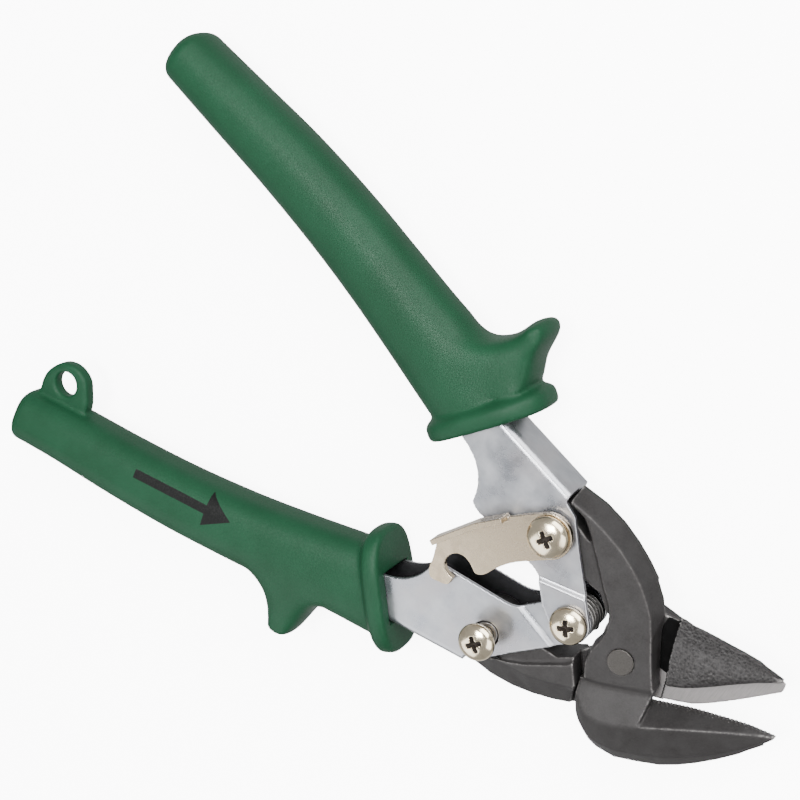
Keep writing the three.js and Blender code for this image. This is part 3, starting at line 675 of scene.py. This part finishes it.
def horn(outline, half, slope, root, tip, tip_share):
    """A finger spur with rounded sides, as thick as the grip at its root and thinner at its tip."""
    points = spline(outline, HORN_FACETS, closed=True)
    root, tip = np.array(root), np.array(tip)
    reach = tip - root
    middle = points.mean(0)
    ahead = np.roll(points, -1, 0) - np.roll(points, 1, 0)
    inward = np.column_stack([-ahead[:, 1], ahead[:, 0]])
    inward /= np.linalg.norm(inward, axis=1)[:, None]
    if ((middle - points) * inward).sum() < 0:
        inward = -inward
    rings = []
    for angle in np.linspace(-math.pi / 2, math.pi / 2, HORN_LEVELS):
        inset = slope * (1 - math.cos(angle))
        flat = points + inward * inset
        height = half * math.sin(angle)
        along = (flat - root) @ reach / (reach @ reach)
        thinner = 1 - (1 - tip_share) * np.clip(along, 0, 1)
        rings.append(np.column_stack([flat, height * thinner]))
    return loft(rings)


def channel_pocket(side):
    """The pocket for the tail of the channel, open at the collar."""
    outline = [
        (-122.6, 42.9), (-95, 34.5), (-68, 24.3), (-50, 17.4), (-50, 34.2),
        (-57, 35.7), (-76, 40.3), (-95, 46.3), (-122.6, 55.2),
    ]
    reach = FLANGE_OUT + POCKET_CLEARANCE
    low = np.array([(x, y * side, -reach) for x, y in outline])
    high = low + [0, 0, 2 * reach]
    vertices, faces = loft([low, high])
    return mesh_from("pocket", vertices, faces)


def grip(name, body, collar_at, side, spur, spur_root, extras=()):
    """A whole grip as one moulding: body rings, collar, finger spur and any extras."""
    center = np.array([*collar_at, 0.0])
    normal = collar_normal(side)
    stem = loft(behind(body, center - normal * COLLAR_OVERLAP, normal))
    vertices, faces = gathered([stem, collar(center, side), spur, *extras])
    obj = add_object(name, mesh_from(name, vertices, faces))
    remeshed(obj, GRIP_VOXEL)
    softened(obj, 6)

    def round_the_root(points):
        reach = np.linalg.norm(points[:, :2] - spur_root, axis=1)
        ahead = (points - center) @ normal
        near_root = np.clip((SPUR_FILLET - reach) / FILLET_FADE, 0, 1)
        return near_root * np.clip((COLLAR_BACK - ahead) / COLLAR_FADE, 0, 1)

    melted(obj, FILLET_ROUNDS, round_the_root)
    cut(obj, channel_pocket(side))
    return shaded_smooth(obj)


def hang_loop():
    """An eye on the end of the lower grip, round in section, with its hole."""
    outer = spline([
        (-191, -51), (-190.9, -45.3), (-187.6, -39.9), (-182.9, -38.1), (-178.1, -39.5),
        (-175.4, -43.3), (-173.4, -48.5), (-175, -56), (-189, -57),
    ], LOOP_FACETS, closed=True)
    hole = np.array([-183.4, -45.1])
    hole_radius, half, soft = 3.8, 2.2, 0.6
    rings = []
    for point in outer:
        away = point - hole
        inner = hole + away / np.linalg.norm(away) * hole_radius
        inwards = (inner - point) / np.linalg.norm(inner - point)
        section = [
            (point, -half + soft), (point + inwards * soft, -half), (inner - inwards * soft, -half),
            (inner, -half + soft), (inner, half - soft), (inner - inwards * soft, half),
            (point + inwards * soft, half), (point, half - soft),
        ]
        rings.append(np.array([(p[0], p[1], z) for p, z in section]))
    return loft([*rings, rings[0]], ends=False)


def upper_grip():
    line = [
        (-190.5, 64.9, 8.1), (-171, 61.1, 9), (-150, 57, 9.9), (-129, 51.8, 10.5),
        (-111, 46.4, 11), (-95, 41.2, 11.8), (-80, 36.5, 13), (-68, 32.6, 13.6), (-54, 28.6, 14),
    ]
    spur = horn([
        (-84, 45.6), (-77.6, 49.6), (-71.8, 55), (-68.6, 61.6), (-65.8, 63.6), (-62.9, 61.2),
        (-62.1, 53.6), (-60.2, 48), (-62, 41), (-75, 37),
    ], half=9.4, slope=1.8, root=(-73, 42), tip=(-65, 63), tip_share=0.8)
    body = grip_body(line, thick=10, power=2.4, dome=4.5, lean=no_lean)
    obj = grip("upper grip", body, (-64, 30.8), 1, spur, (-73, 47))
    return dress(obj, "upper_handle", "green_grip", ["upper_grip"], UPPER_GREEN)


def lower_grip():
    line = [
        (-189.8, -61.6, 8), (-175, -58.5, 8.4), (-154, -55, 8.9), (-133, -50.8, 9.4),
        (-113, -45.7, 9.9), (-95, -40.4, 10.7), (-78, -35.3, 11.9), (-66, -31.8, 12.8), (-52, -28, 13.4),
    ]
    spur = horn([
        (-106, -49), (-100.4, -53.4), (-95.6, -55.8), (-91.2, -62.4), (-88, -65.8), (-83, -64.4),
        (-80.8, -57.5), (-79.6, -50), (-76, -44), (-80, -36.5), (-97, -43),
    ], half=9.1, slope=1.8, root=(-92, -48), tip=(-88, -65), tip_share=0.6)
    body = grip_body(line, thick=9.6, power=3.2, dome=3.5, lean=lower_lean)
    obj = grip("lower grip", body, (-62.5, -28.9), -1, spur, (-90, -50), [hang_loop()])
    return dress(obj, "lower_handle", "green_grip", ["lower_grip"], LOWER_GREEN)


# ---- Pressed channels and latch ------------------------------------------------------------

FACE_SLACK = 0.25  # how far a remeshed face may lie off its true plane


def channel(name, node, body, side):
    """A handle channel, plated outside, and dull and dark within as painted shade."""
    obj = remeshed(cad_copy(name, node), CHANNEL_VOXEL)
    # Lighter bends are partly wear and partly painted highlight; darker corners are painted shade.
    marked(softened(obj, 1), CHANNEL_VOXEL)
    dress(obj, body, "nickel_plate", [node], SHEET, INSIDE_SHADE)
    outwards = 0.5

    def within(centers, normals):
        between = np.abs(centers[:, 2]) < FLANGE_IN + FACE_SLACK
        return between & (normals[:, 1] * side < outwards) & (normals[:, 0] < outwards)

    # The inner faces are painted dark as shade.
    paint_faces(obj, within, INSIDE_SHADE)
    return obj


def latch():
    obj = remeshed(cad_copy("latch", "latch_lever"), LATCH_VOXEL)
    # Lighter bends are partly wear and partly painted highlight; darker corners are painted shade.
    marked(softened(obj, 2), LATCH_VOXEL)
    return dress(obj, "latch", "latch_plate", ["latch_lever"], LATCH_NICKEL)


# ---- Forged blades -------------------------------------------------------------------------

CUTTING_EDGE = [(12.2, -6.1), (21, -1.1), (28.1, 2.3), (33, 4.5), (37.9, 6.5), (42.6, 7.8)]
WEAR_LOW, WEAR_HIGH = 0.012, 0.04  # how far a ridge stands out before it is rubbed bright
SERRATION_PITCH = 1.1
SERRATION_DEPTH = 0.28
SERRATION_REACH = 1.3  # how far from the edge the teeth fade out
EDGE_START_X = 12.5
EDGE_SAMPLES = 400
LAP_KEPT = 1.6  # half the layer round the shear plane that keeps its sharp edges
BLADE_ROUNDS = 9
BULK_ROUNDS = 110


def serrated(obj):
    """Fine teeth along the lower jaw's cutting edge."""
    points = design(vertex_array(obj.data))
    line = spline(CUTTING_EDGE, EDGE_SAMPLES)
    steps = np.linalg.norm(np.diff(line, axis=0), axis=1)
    travel = np.concatenate([[0], np.cumsum(steps)])
    near = np.where((points[:, 0] > EDGE_START_X) & (np.abs(points[:, 2]) < LAP_KEPT))[0]
    gaps = np.linalg.norm(points[near, None, :2] - line[None], axis=2)
    nearest = gaps.argmin(1)
    share = np.clip(1 - gaps.min(1) / SERRATION_REACH, 0, 1)
    wave = np.abs(np.sin(math.pi * travel[nearest] / SERRATION_PITCH))
    inward = np.array([0.45, -0.89])  # square to the edge, into the jaw
    points[near, :2] += inward * (SERRATION_DEPTH * share * (1 - wave))[:, None]
    obj.data.vertices.foreach_set("co", row(points).ravel())
    obj.data.update()
    return obj


def blade(name, node):
    """A forging from its CAD node, with rounded edges away from the lap."""

    def off_the_lap(points):
        return np.clip(np.abs(points[:, 2]) - LAP_KEPT, 0, 1)

    obj = softened(remeshed(cad_copy(name, node), BLADE_VOXEL), 2)
    return melted(obj, BLADE_ROUNDS, off_the_lap)


def near_blade():
    obj = store_bulge(serrated(blade("near blade", "near_blade")), WEAR_LOW, WEAR_HIGH)
    dress(obj, "near_blade", "forged_steel", ["near_blade"], FORGED, GROUND)
    ground_from_x, faces_down = -8, -0.9

    def lap(centers, normals):
        flat = (np.abs(centers[:, 2] - LAP_HALF) < FACE_SLACK) & (normals[:, 2] < faces_down)
        return flat & (centers[:, 0] > ground_from_x)

    paint_faces(obj, lap, GROUND)
    return obj


def bulk(points):
    """The thick back of the upper jaw, which is forged in one soft curve."""
    from_x, over_x = 17, 3
    from_z, over_z = 1.2, 1.5
    ahead = np.clip((points[:, 0] - from_x) / over_x, 0, 1)
    return ahead * np.clip((points[:, 2] - from_z) / over_z, 0, 1)


def far_blade():
    obj = melted(blade("far blade", "far_blade"), BULK_ROUNDS, bulk)
    store_bulge(obj, WEAR_LOW, WEAR_HIGH)
    dress(obj, "far_blade", "forged_steel", ["far_blade"], FORGED, GROUND, CRINKLED, LAP_SHADE)
    lap_slack, faces_up, faces_back = 0.4, 0.85, -0.3
    lap_from_x, jaw_from_x, wall_end_x = 3, 4, 19
    recess_end_x, recess_y = 13.0, 2.2
    line_top, line_slope, line_half = (11.2, 2.5), 0.347, 0.2

    def jaw(centers, _normals):
        return (centers[:, 0] > jaw_from_x) & (centers[:, 2] > 0)

    def lap(centers, normals):
        flat = (np.abs(centers[:, 2] + LAP_HALF) < lap_slack) & (normals[:, 2] > faces_up)
        return flat & (centers[:, 0] > lap_from_x)

    def recess(centers, normals):
        """Painted shade: the floor and wall behind the upper jaw, and the dark line down the lap."""
        x, y, z = centers.T
        flat = lap(centers, normals)
        shaded_floor = flat & (y > recess_y) & (x < recess_end_x)
        ahead = (z > -2 * LAP_HALF) & (x > jaw_from_x) & (x < wall_end_x)
        wall = ahead & (normals[:, 0] < faces_back)
        line_x = line_top[0] + line_slope * (line_top[1] - y)
        line = flat & (np.abs(x - line_x) < line_half) & (y < recess_y)
        return shaded_floor | wall | line

    paint_faces(obj, jaw, CRINKLED)
    paint_faces(obj, lap, GROUND)
    # The recess behind the upper jaw and the line down the lap are painted dark as shade.
    paint_faces(obj, recess, LAP_SHADE)
    return obj


# ---- Screws, pin, nuts and spring ----------------------------------------------------------

LATHE_FACETS = 72
HEAD_HEIGHT = 2.9
RIM_HEIGHT = 0.55  # the straight part of a screw head, under its dome
TANG_SCREW_TIP = -11.3  # where the two tang screws end, below their nuts
HANDLE_SCREW_TIP = -12.0


def lathe(profile):
    """A solid turned about Z from (radius, height) points."""
    turn = np.linspace(0, 2 * math.pi, LATHE_FACETS, endpoint=False)
    circle = np.column_stack([np.cos(turn), np.sin(turn)])
    rings = [
        np.column_stack([radius * circle, np.full(LATHE_FACETS, height)])
        for radius, height in profile
    ]
    return loft(rings)


def head_top(radius, away):
    """Height of a screw's dome above its seat, at that distance from the axis."""
    level = np.sqrt(np.clip(1 - (away / radius) ** 2, 0, 1))
    return RIM_HEIGHT + (HEAD_HEIGHT - RIM_HEIGHT) * level


def cross_recess(seat, top, angle):
    """The tapered cross of a driver recess."""
    arm_top, arm_floor, half_top, half_floor = 2.7, 1.5, 0.72, 0.45
    bottom = seat + 0.9
    parts = []
    for turn in (angle, angle + math.pi / 2):
        along = np.array([math.cos(turn), math.sin(turn), 0])
        side = np.array([-math.sin(turn), math.cos(turn), 0])
        rings = []
        for arm, half, height in ((arm_floor, half_floor, bottom), (arm_top, half_top, top)):
            corners = [(arm, half), (-arm, half), (-arm, -half), (arm, -half)]
            rings.append(np.array([along * a + side * b + [0, 0, height] for a, b in corners]))
        parts.append(loft(rings))
    return gathered(parts)


def pan_screw(name, node, body, place, seat, tip, radius, shank, angle):
    """A pan head screw with a domed head and a cross recess."""
    axis = 0.01  # radius of the small flats that close the two ends
    dome = [
        (radius * math.cos(a), seat + RIM_HEIGHT + (HEAD_HEIGHT - RIM_HEIGHT) * math.sin(a))
        for a in np.linspace(0, 0.49, 14) * math.pi
    ]
    profile = [
        (axis, tip), (shank - 0.3, tip), (shank, tip + 0.4), (shank, seat),
        (radius - 0.25, seat), (radius, seat + 0.2), *dome, (axis, seat + HEAD_HEIGHT),
    ]
    offset = np.array([*place, 0.0])
    vertices, faces = lathe(profile)
    obj = add_object(name, mesh_from(name, vertices + offset, faces))
    cross, cross_faces = cross_recess(seat, seat + HEAD_HEIGHT + 0.3, angle)
    tool = add_object("recess", mesh_from("recess", cross + offset, cross_faces))
    remeshed(tool, RECESS_VOXEL)
    mesh = tool.data
    bpy.data.objects.remove(tool)
    cut(obj, mesh)
    softened(remeshed(obj, SCREW_VOXEL), 2)
    dress(obj, body, "screw_nickel", [node], SCREW_NICKEL, PAINTED_SHADE)
    cross_reach, sunk = 3.2, 0.3

    def in_the_cross(centers, _normals):
        away = np.hypot(centers[:, 0] - place[0], centers[:, 1] - place[1])
        top = seat + head_top(radius, away)
        return (away < cross_reach) & (centers[:, 2] > seat + 0.5) & (centers[:, 2] < top - sunk)

    # The inside of the cross recess is painted dark as shade.
    paint_faces(obj, in_the_cross, PAINTED_SHADE)
    return obj


def screws():
    """The handle pivot, the upper tang pivot and the latch post."""
    pan_screw("handle pivot screw", "handle_pivot_screw", "lower_handle", (HANDLE_X, 0),
              seat=8.2, tip=HANDLE_SCREW_TIP, radius=5.3, shank=2.2, angle=math.radians(35))
    pan_screw("upper tang screw", "upper_tang_screw", "upper_handle", (TANG_X, TANG_Y),
              seat=10.7, tip=TANG_SCREW_TIP, radius=5.8, shank=2.2, angle=math.radians(55))
    pan_screw("latch post screw", "latch_post_screw", "lower_handle", (TANG_X, -TANG_Y),
              seat=13.0, tip=TANG_SCREW_TIP, radius=5.3, shank=1.6, angle=math.radians(50))


def fittings():
    """The small turned pieces, with their edges broken."""
    pieces = {
        "blade_pivot_pin": ("far_blade", "dark_steel", PIN_STEEL),
        "blade_pivot_washer": ("far_blade", "nickel_plate", SHEET),
        "blade_pivot_nut": ("far_blade", "screw_nickel", SCREW_NICKEL),
        "handle_pivot_bushing": ("lower_handle", "dark_steel", DARK),
        "handle_pivot_nut": ("lower_handle", "screw_nickel", SCREW_NICKEL),
        "upper_tang_bushing": ("upper_handle", "dark_steel", DARK),
        "upper_tang_nut": ("upper_handle", "screw_nickel", SCREW_NICKEL),
        "latch_washer": ("upper_handle", "dark_steel", DARK),
        "latch_post_sleeve": ("lower_handle", "screw_nickel", SCREW_NICKEL),
        "latch_post_bushing": ("lower_handle", "dark_steel", DARK),
        "latch_post_nut": ("lower_handle", "screw_nickel", SCREW_NICKEL),
    }
    for node, (body, slot, material) in pieces.items():
        obj = softened(remeshed(cad_copy(node.replace("_", " "), node), FITTING_VOXEL), 2)
        dress(obj, body, slot, [node], material)


def torsion_spring():
    """A coil round the handle pivot with a leg in each channel."""
    wire, mean, turns, half = 0.75, 4.9, 3.5, 3.4
    coil_points, samples, wire_facets = 43, 420, 14
    legs = [(-30.2, 9.7), (-27.6, 9.2), (-24.2, 7.6)]
    start = 1.9  # angle at which the coil leaves the upper leg
    sweep = turns * 2 * math.pi - 2 * start + math.pi
    path = [(x, y, half) for x, y in legs]
    for share in np.linspace(0, 1, coil_points):
        angle = start - sweep * share
        height = half * (1 - 2 * share)
        path.append((HANDLE_X + mean * math.cos(angle), mean * math.sin(angle), height))
    path += [(x, -y, -half) for x, y in reversed(legs)]
    centers = spline(path, samples)
    tangents = np.gradient(centers, axis=0)
    tangents /= np.linalg.norm(tangents, axis=1)[:, None]
    up = np.array([0, 0, 1.0])
    turn = np.linspace(0, 2 * math.pi, wire_facets, endpoint=False)[:, None]
    rings = []
    for center, tangent in zip(centers, tangents):
        side = np.cross(tangent, up)
        side /= np.linalg.norm(side)
        rise = np.cross(side, tangent)
        rings.append(center + wire * (side * np.cos(turn) + rise * np.sin(turn)))
    vertices, faces = loft(rings)
    obj = shaded_smooth(add_object("torsion_spring_look", mesh_from("torsion spring", vertices, faces)))
    obj.data.materials.append(DARK)
    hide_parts("torsion_spring")
    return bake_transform(obj)


# ---- Studio, in metres ---------------------------------------------------------------------

WHITE = (1, 1, 1, 1)
FLOOR_SIZE = 80.0
FLOOR_GAP = 0.0002
FLOOR_GREY = (0.86, 0.86, 0.86)
FLOOR_GLOW = 8.0
FROM_BELOW = 1.1  # strength of the world below the horizon, for the white table under the tool
FROM_ABOVE = 0.5
HORIZON = (-0.4, 0.1)  # heights of the directions between which one turns into the other
AIM = ORIGIN + Vector((-0.04, 0, 0))  # where every light points

CAMERA_PLACE = (16.41457, 210.69463, 380.86081)  # mm in the design frame
CAMERA_TURN = (-14.7186, 26.3649, 30.4057)  # degrees
CAMERA_LENS = 72.0


def floor():
    """A plain pale floor that lends the tool no light and isn't mirrored in it."""
    bpy.ops.mesh.primitive_plane_add(size=FLOOR_SIZE, location=(0, 0, cad_low.z - FLOOR_GAP))
    plane = bpy.context.object
    plane.name = "floor"
    shader = Shader("pale floor", metallic=0.0, specular=0.1)
    shader.surface.inputs["Emission Color"].default_value = WHITE
    shader.surface.inputs["Emission Strength"].default_value = FLOOR_GLOW
    plane.data.materials.append(shader.finish(FLOOR_GREY, 0.8))
    plane.visible_diffuse = False
    plane.visible_glossy = False


def soft_light(name, place, power, size):
    """A square area light of that power in watts, with its side in metres."""
    lamp = bpy.data.lights.new(name, "AREA")
    lamp.shape = "SQUARE"
    lamp.size = size
    lamp.energy = power
    obj = add_object(name, lamp)
    obj.location = place
    obj.rotation_euler = (AIM - obj.location).to_track_quat("-Z", "Y").to_euler()


def studio():
    """A white world, brighter below the horizon than above, and four soft lights."""
    world = bpy.data.worlds.new("studio")
    world.use_nodes = True
    bpy.context.scene.world = world
    nodes, links = world.node_tree.nodes, world.node_tree.links
    direction = nodes.new("ShaderNodeTexCoord").outputs["Generated"]
    split = nodes.new("ShaderNodeSeparateXYZ")
    links.new(direction, split.inputs[0])
    strength = nodes.new("ShaderNodeMapRange")
    links.new(split.outputs["Z"], strength.inputs["Value"])
    strength.inputs["From Min"].default_value = HORIZON[0]
    strength.inputs["From Max"].default_value = HORIZON[1]
    strength.inputs["To Min"].default_value = FROM_BELOW
    strength.inputs["To Max"].default_value = FROM_ABOVE
    background = nodes["Background"]
    background.inputs["Color"].default_value = WHITE
    links.new(strength.outputs["Result"], background.inputs["Strength"])
    soft_light("key", (-0.12, 0.2, 0.95), 14, 0.35)
    soft_light("fill", (0.7, 0.1, 0.6), 5, 0.6)
    soft_light("front", (-0.1, -0.6, 0.5), 4, 0.6)
    soft_light("back", (0.1, 0.8, 0.55), 18, 0.8)


def camera():
    data = bpy.data.cameras.new("camera")
    data.lens = CAMERA_LENS
    data.sensor_width = 36
    obj = add_object("camera", data)
    obj.location = Vector(row(CAMERA_PLACE))
    obj.rotation_euler = Euler([math.radians(angle) for angle in CAMERA_TURN], "XYZ")
    bpy.context.scene.camera = obj


upper_grip()
lower_grip()
channel("upper channel", "upper_channel", "upper_handle", 1)
channel("lower channel", "lower_channel", "lower_handle", -1)
latch()
near_blade()
far_blade()
screws()
fittings()
torsion_spring()
floor()
studio()
camera()
